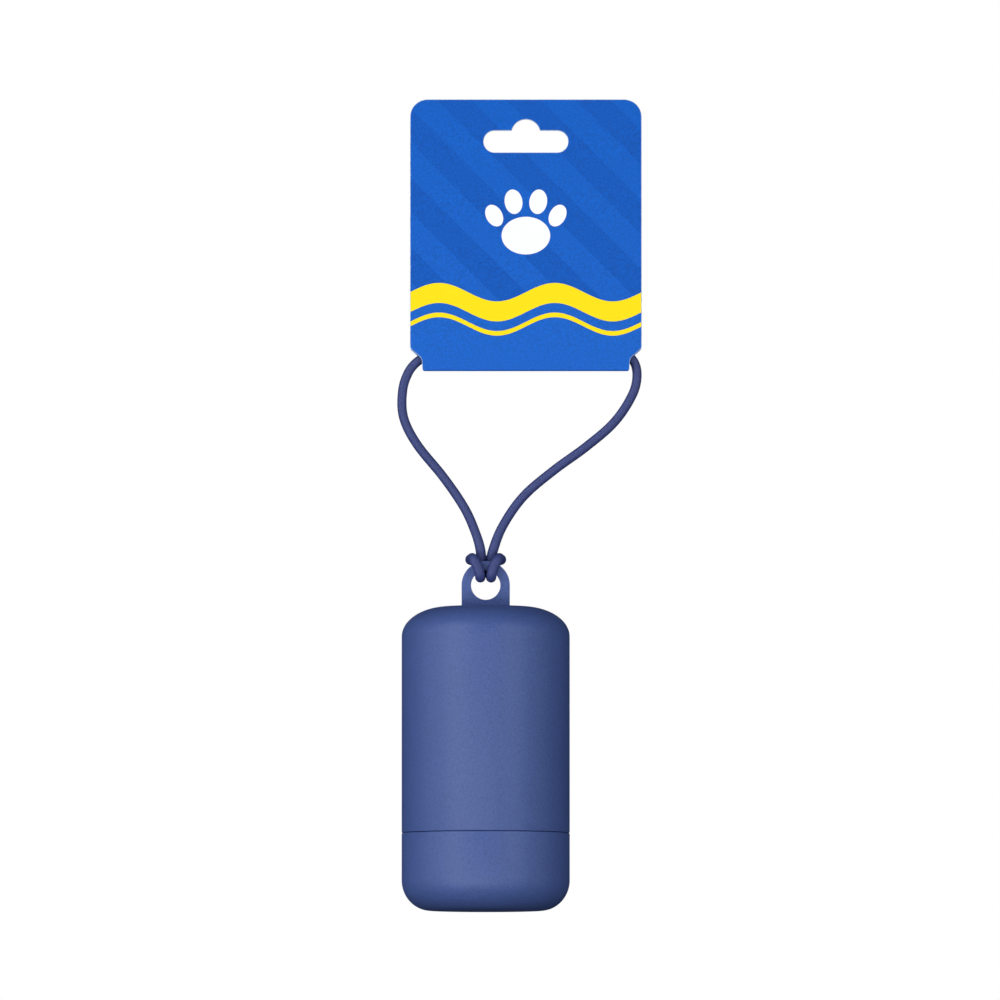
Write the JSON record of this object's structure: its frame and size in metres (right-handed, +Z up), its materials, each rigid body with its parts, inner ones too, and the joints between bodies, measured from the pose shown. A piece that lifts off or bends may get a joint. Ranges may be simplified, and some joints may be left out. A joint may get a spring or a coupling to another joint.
{
  "type": "dog waste bag dispenser",
  "caption": "Capsule for a roll of dog waste bags, with a push-fit end cap, hung by a hitched rubber loop from a folded hang card.",
  "frame": {"origin": "the hang point: the top of the arch over the middle of the card's hang slot, halfway through the card", "axes": "+Z up, +X to the right seen from the front, -Y out of the card's printed front"},
  "size_m": [0.0633, 0.0434, 0.2103],
  "materials": {
    "printed_card": "satin laminate over print",
    "glue": "dried glue",
    "loop_rubber": "smooth satin",
    "shell_plastic": "fine matte, soft touch",
    "core_card": "raw kraft",
    "bag_film": "slippery film, satin",
    "sticker_paper": "plain paper"
  },
  "bodies": {
    "card": {"hang_card": "printed_card", "card_adhesive": "glue"},
    "lanyard": {"cord_loop": "loop_rubber"},
    "housing": {"housing": "shell_plastic"},
    "end_cap": {"end_cap": "shell_plastic"},
    "roll": {"roll_core": "core_card", "bag_roll": "bag_film", "roll_sticker": "sticker_paper"}
  },
  "joints": [
    {"name": "loop_swing", "type": "hinge", "parent": "card", "child": "lanyard", "pos_m": [0, 0, -0.062], "axis": [1, 0, 0], "range_deg": [-75, 75]},
    {"name": "capsule_swing", "type": "hinge", "parent": "lanyard", "child": "housing", "pos_m": [-0.0104, 0, -0.1208], "axis": [0, 1, 0], "range_deg": [-45, 45]},
    {"name": "cap_pull", "type": "slide", "parent": "housing", "child": "end_cap", "axis": [0, 0, -1], "range_m": [0, 0.055]},
    {"name": "roll_spin", "type": "hinge", "parent": "end_cap", "child": "roll", "pos_m": [-0.0104, 0, -0.2021], "axis": [0, 0, 1], "continuous": true}
  ]
}
